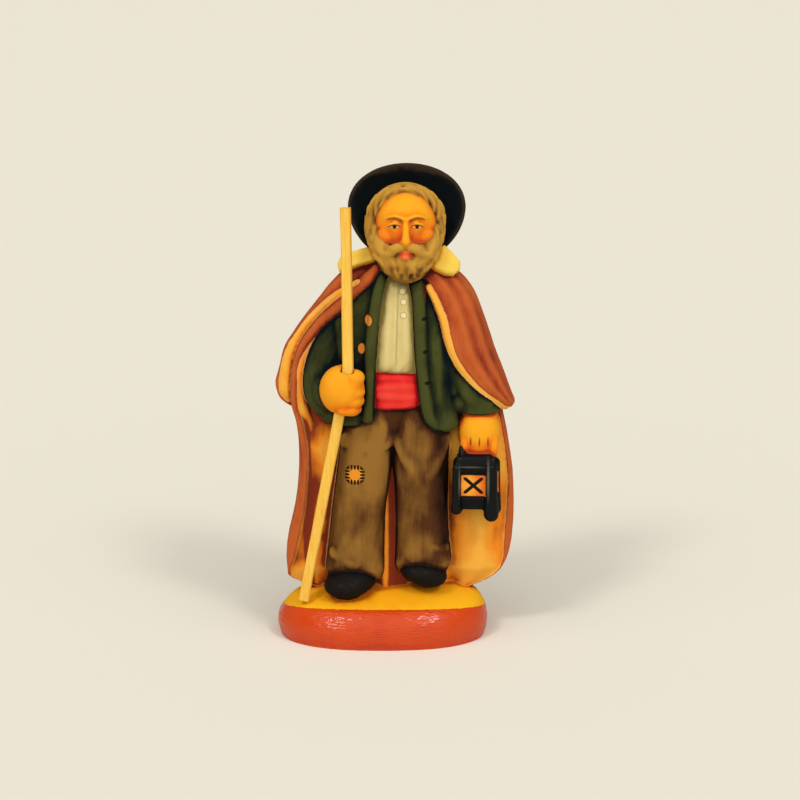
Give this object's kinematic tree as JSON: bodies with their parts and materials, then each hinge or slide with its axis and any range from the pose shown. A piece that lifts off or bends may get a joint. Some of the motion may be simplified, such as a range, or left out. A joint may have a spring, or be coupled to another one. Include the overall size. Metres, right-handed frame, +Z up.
{
  "type": "painted clay shepherd figurine",
  "caption": "Painted clay figurine of an old bearded shepherd in a hat and long cloak, leaning on a wooden staff and holding a lantern, on a flat oval base.",
  "frame": {"origin": "centre of the base's underside", "axes": "+Z up, +X to the viewer's right when the figure faces the viewer, +Y away from the viewer"},
  "size_m": [0.0445, 0.027, 0.089],
  "materials": {
    "painted_clay": "matt hand-painted clay",
    "split_wood": "raw split lath"
  },
  "bodies": {
    "root": {"figure": "painted_clay", "staff": "split_wood"}
  },
  "joints": []
}
